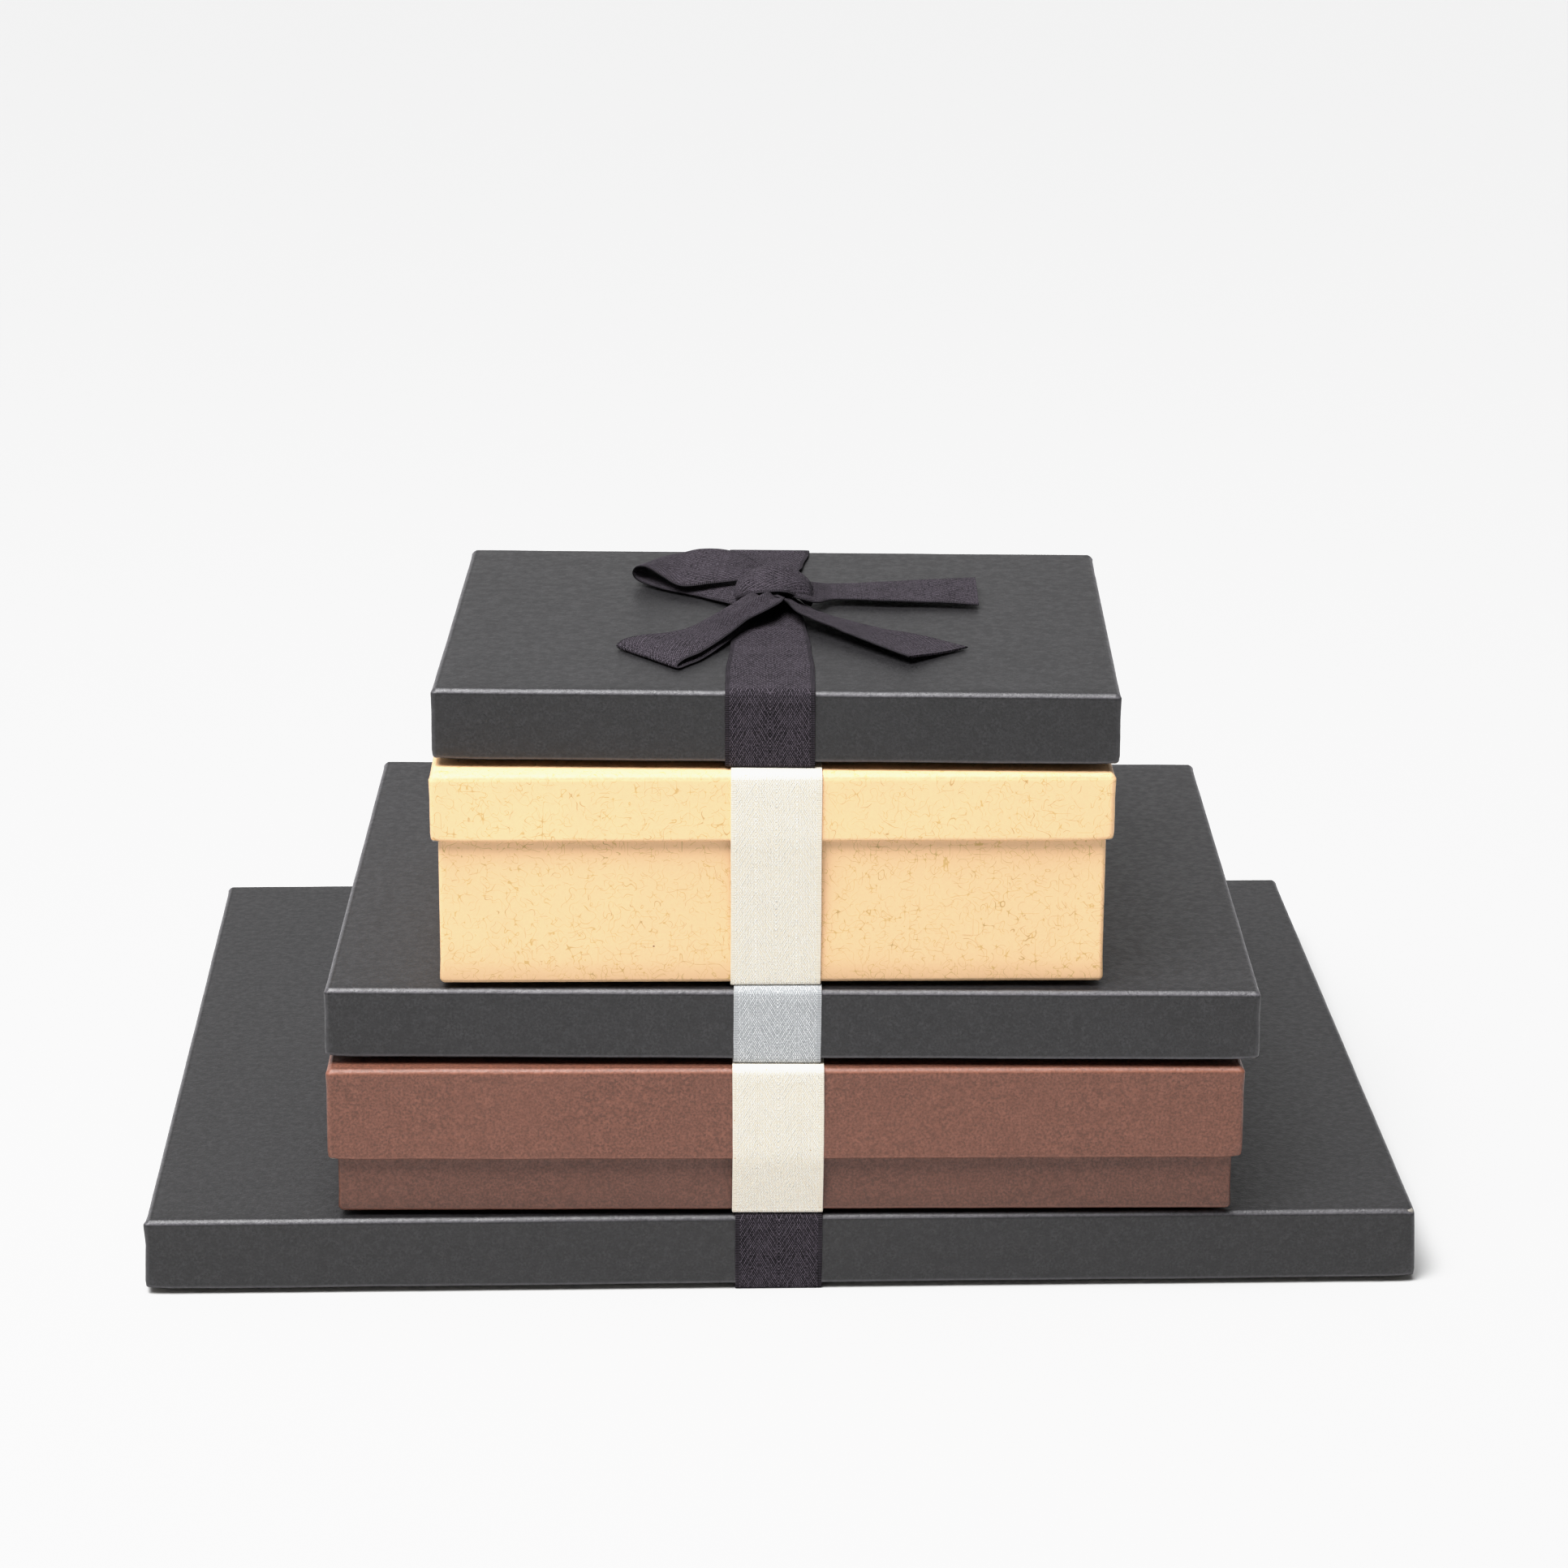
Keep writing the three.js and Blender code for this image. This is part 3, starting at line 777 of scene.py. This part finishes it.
def crowned(stations):
    """Near point, far point and how far the middle stands off the line between them."""
    net = []
    for k, (near, far, crown) in enumerate(stations):
        near, far = Vector(near), Vector(far)
        before, after = stations[max(k - 1, 0)], stations[min(k + 1, len(stations) - 1)]
        along = (Vector(after[0]) + Vector(after[1])) - (Vector(before[0]) + Vector(before[1]))
        normal = (far - near).cross(along).normalized()
        net.append([near,
                    near.lerp(far, 0.25) + normal * crown * 0.75,
                    near.lerp(far, 0.5) + normal * crown,
                    near.lerp(far, 0.75) + normal * crown * 0.75,
                    far])
    return net


# Stations of the bow's loops and tails, for crowned(). Each piece starts in the knot; a loop
# runs along its top layer, round the tip and back underneath.
BACK_LOOP = (
    ((-2, 6, 6.4), (-1, 16, 6.4), 1.2), ((-8, 10, 5.6), (-6.5, 25.5, 8.2), 1.4),
    ((-13, 12, 4.7), (-9.5, 32, 8.0), 0.8), ((-19, 11.6, 4.2), (-15, 36, 8.3), 0.6),
    ((-27.5, 11.8, 3.4), (-21.5, 37.5, 8.0), 0.4), ((-33.5, 18, 4.8), (-26.8, 40, 6.2), 0.4),
    ((-38, 23.5, 6.1), (-31.5, 41.5, 4.8), 0.2), ((-41.2, 25, 5.9), (-35.2, 41.5, 3.4), 0),
    ((-42.4, 24.6, 4.2), (-36.8, 41, 2.2), 0), ((-41.2, 24.2, 2.2), (-35.4, 41, 1.2), 0),
    ((-37.8, 22, 1.2), (-31, 41, 0.8), -0.3), ((-32.8, 17.4, 0.9), (-25, 40, 0.8), -0.8),
    ((-23, 9.8, 0.9), (-14, 33.4, 0.8), -1.5), ((-17.2, 4, 1.0), (-8.6, 27, 1.2), -1.7),
    ((-11.3, -2, 1.6), (-4, 18, 2.6), -1.6), ((-5, -3, 2.6), (-1, 11, 4), -1.2),
)
FRONT_LOOP = (
    ((2.4, -4, 3.4), (-8.5, -1, 2.4), 1.0), ((2.4, -11, 5.6), (-10.2, -4, 3.8), 1.4),
    ((1.0, -18, 6.2), (-12.4, -11, 4.4), 2.0), ((-3, -24, 5.8), (-16.2, -18.5, 4.6), 1.6),
    ((-8.6, -29, 4.5), (-22, -26.2, 3.6), 1.0), ((-14, -38.6, 3.4), (-27, -32.6, 3.0), 0.5),
    ((-18.4, -46.2, 2.6), (-33, -35.6, 2.6), 0.4), ((-23.2, -54.8, 2.2), (-40.6, -36.8, 2.2), 0.4),
    ((-27.6, -60.4, 2.0), (-45, -39.2, 1.9), 0.2), ((-29.6, -63.6, 1.5), (-46.8, -42, 1.4), 0),
    ((-29.9, -64.8, 1.0), (-47.2, -43, 0.9), 0), ((-29.2, -64.6, 0.6), (-46.4, -43, 0.5), 0),
    ((-26.6, -61, 0.5), (-43.6, -40.8, 0.5), 0), ((-22.6, -55.6, 0.6), (-37, -35, 0.6), 0),
    ((-15.8, -42.2, 1.2), (-29.4, -29.6, 1.2), 0), ((-10.6, -29, 1.4), (-22, -21, 1.4), 0),
    ((-5, -16, 1.9), (-16.6, -11, 1.8), 0.3), ((-0.6, -6, 3), (-9, -2, 2.6), 0.4),
)
BACK_TAIL = (
    ((3, -2.5, 5.0), (4, 7, 6.6), -0.8), ((7.5, -6.5, 4.4), (8.5, 11, 5.2), -0.8),
    ((12.4, -5, 2.8), (13.6, 16.2, 3.1), -0.5), ((17.4, 0.8, 2.1), (17.6, 19.6, 1.8), -0.3),
    ((24.4, 0.6, 2.1), (24.6, 21.8, 1.3), -0.2), ((34, -0.7, 2.0), (34.4, 23.6, 1.2), -0.3),
    ((47.4, -1.6, 1.8), (47.4, 24.2, 1.7), -0.3), ((61, -3.6, 1.5), (61.9, 22.6, 2.7), -0.6),
)
FRONT_TAIL = (
    ((-1, -5, 5.6), (6, 0, 2.4), 0.4), ((2.4, -14, 6.4), (9.4, -4.4, 1.5), 0.4),
    ((6.4, -24, 5.1), (15, -11, 1.0), 0.5), ((13.6, -32, 4.1), (23.8, -19.6, 0.8), 0.5),
    ((21.2, -41.6, 3.3), (32.6, -26.6, 0.6), 0.4), ((28.6, -51.4, 2.9), (42, -32.6, 0.6), 0.4),
    ((36.4, -60.9, 2.5), (54.6, -45.4, 0.7), 0.3),
)
# The knot's net: one turn of tape over the top, its near selvedge a lip above the front loop.
KNOT = (
    ((-11.2, -2.0, 3.2), (-11.7, 0, 3.6), (-11.8, 3, 3.2), (-11.2, 6, 2.4), (-10.6, 8, 1.2)),
    ((-10.4, -3.0, 4.2), (-10.6, 1.4, 6.4), (-10.2, 6, 7.0), (-9.2, 11, 6.0), (-8.4, 15, 2.6)),
    ((-7.8, -4.6, 5.4), (-7.4, 1.2, 8.4), (-7.0, 6.6, 9.1), (-6.0, 12.4, 8.2), (-5.2, 17, 4.0)),
    ((-3.0, -6.2, 6.4), (-2.6, -1.0, 8.9), (-2.2, 5.4, 10.7), (-1.6, 12.4, 9.2), (-1.2, 18, 4.0)),
    ((1.8, -6.2, 6.6), (2.4, -1.2, 8.9), (2.8, 5.4, 10.6), (3.2, 12.2, 9.0), (3.4, 17.6, 3.8)),
    ((5.8, -5.2, 5.2), (6.8, -0.6, 8.0), (7.2, 5, 8.9), (7.4, 11, 7.7), (7.2, 15.6, 3.6)),
    ((9.2, -4.4, 2.4), (10.4, -0.2, 5.4), (10.5, 4, 6.2), (10.3, 8.6, 5.2), (9.6, 12.6, 2.4)),
    ((11.0, -2.2, 1.1), (11.5, 1.2, 2.6), (11.5, 4, 3.0), (11.2, 6.6, 2.6), (10.6, 9, 1.4)),
)
BOW = (  # visual piece, the CAD node it replaces, its net and tape_shell()'s settings
    ("bow_back_loop", "bow_loop_back", crowned(BACK_LOOP),
     dict(creases=0.45, crease_ends=(0.2, 0.12), rows=110, seed=5)),
    ("bow_front_loop", "bow_loop_front", crowned(FRONT_LOOP),
     dict(creases=0.62, crease_ends=(0.34, 0.26), rows=110, seed=9)),
    ("bow_back_tail", "bow_tail_back", crowned(BACK_TAIL),
     dict(creases=0.4, crease_ends=(0.3, 0.0), seed=13)),
    ("bow_front_tail", "bow_tail_front", crowned(FRONT_TAIL),
     dict(creases=0.4, crease_ends=(0.3, 0.0), seed=17)),
    ("bow_wrap", "bow_knot", KNOT,
     dict(creases=0.34, crease_ends=(0.5, 0.5), rows=44, columns=24, seed=21)),
)
for name, node, net, options in BOW:
    obj, length = tape_shell(name, net, tape_looks["box5"], **options)
    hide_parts(node)


# ---- stage, light and camera -----------------------------------------------------------------
FLOOR_HALF = 30.0  # m, past the camera's view
FLOOR_GREY = 0.62


def stage():
    n = Nodes("stage_white")
    n.shader.inputs["Base Color"].default_value = (FLOOR_GREY, FLOOR_GREY, FLOOR_GREY, 1)
    n.shader.inputs["Roughness"].default_value = 0.75
    n.shader.inputs["Specular IOR Level"].default_value = 0.1
    mesh = bpy.data.meshes.new("stage_floor")
    corners = [(x * FLOOR_HALF, y * FLOOR_HALF, 0) for x, y in ((-1, -1), (1, -1), (1, 1), (-1, 1))]
    mesh.from_pydata(corners, [], [(0, 1, 2, 3)])
    mesh.materials.append(n.material)
    floor = bpy.data.objects.new("stage_floor", mesh)
    bpy.context.scene.collection.objects.link(floor)


def gradient(tree, value, levels, interpolation):
    """levels: from low to high, then the brightness at low and at high."""
    node = tree.nodes.new("ShaderNodeMapRange")
    node.interpolation_type = interpolation
    for index, level in enumerate(levels, 1):
        node.inputs[index].default_value = level
    tree.links.new(value, node.inputs[0])
    return node.outputs[0]


def sky():
    """White all round, brighter at the back than at the front and on the left than the right."""
    world = bpy.data.worlds.new("studio")
    bpy.context.scene.world = world
    world.use_nodes = True
    tree = world.node_tree
    toward = tree.nodes.new("ShaderNodeSeparateXYZ")
    tree.links.new(tree.nodes.new("ShaderNodeTexCoord").outputs["Generated"], toward.inputs[0])
    both = tree.nodes.new("ShaderNodeMath")
    both.operation = "MULTIPLY"
    depth = gradient(tree, toward.outputs["Y"], (-0.2, 0.7, 0.1, 0.64), "SMOOTHSTEP")
    side = gradient(tree, toward.outputs["X"], (-0.6, 0.6, 1.2, 0.6), "LINEAR")
    tree.links.new(depth, both.inputs[0])
    tree.links.new(side, both.inputs[1])
    tree.links.new(both.outputs[0], tree.nodes["Background"].inputs[1])
    tree.nodes["Background"].inputs[0].default_value = (1, 1, 1, 1)


def lamp(name, kind, toward, place=(0, 0, 0), **settings):
    """A light that shines from the side that toward points to."""
    data = bpy.data.lights.new(name, kind)
    for key, value in settings.items():
        setattr(data, key, value)
    obj = bpy.data.objects.new(name, data)
    obj.location = place
    obj.rotation_euler = Vector(toward).to_track_quat("Z", "Y").to_euler()
    bpy.context.scene.collection.objects.link(obj)


def lights():
    sky()
    lamp("overhead", "SUN", Vector((-0.25, -0.3, 1.0)).normalized(), energy=4.2,
         angle=math.radians(44))
    place = Vector((-0.28, -0.42, 0.95))
    lamp("softbox", "AREA", place - Vector((0, -0.05, 0.1)), place, shape="DISK", size=0.7,
         energy=6.6)


def tone():
    """A photographic shoulder: whites roll off just below full white."""
    view = bpy.context.scene.view_settings
    view.view_transform = "Standard"
    view.use_curve_mapping = True
    curve = view.curve_mapping
    brightest = 1.6
    curve.white_level = (brightest, brightest, brightest)
    points = curve.curves[3].points
    straight = [(v, v) for v in (0.16, 0.32, 0.48, 0.64, 0.78)]
    for x, y in straight + [(0.9, 0.875), (1.0, 0.925), (1.15, 0.95)]:
        points.new(x / brightest, y)
    points[-1].location = (1.0, 0.965)
    curve.update()


CAMERA_PLACE = (-44.5, -1315.4, 541.1)  # mm
CAMERA_TURN = (2.15, 18.24, 0.32)  # to the right, down and rolled, degrees
LENS, SENSOR = 100.6, 36.0  # mm


def camera():
    """At the viewing height and distance of a small product photograph, looking a little down."""
    data = bpy.data.cameras.new("view")
    data.sensor_width = SENSOR
    data.lens = LENS
    data.clip_end = 100.0
    obj = bpy.data.objects.new("view", data)
    azimuth, pitch, roll = (math.radians(angle) for angle in CAMERA_TURN)
    forward = Vector((math.sin(azimuth) * math.cos(pitch), math.cos(azimuth) * math.cos(pitch),
                      -math.sin(pitch)))
    right = Vector((math.cos(azimuth), -math.sin(azimuth), 0))
    up = right.cross(forward)
    turned_right = right * math.cos(roll) + up * math.sin(roll)
    turned_up = up * math.cos(roll) - right * math.sin(roll)
    matrix = Matrix((turned_right, turned_up, -forward)).transposed().to_4x4()
    matrix.translation = Vector(CAMERA_PLACE) * MM
    obj.matrix_world = matrix
    bpy.context.scene.collection.objects.link(obj)
    bpy.context.scene.camera = obj


stage()
lights()
camera()
tone()
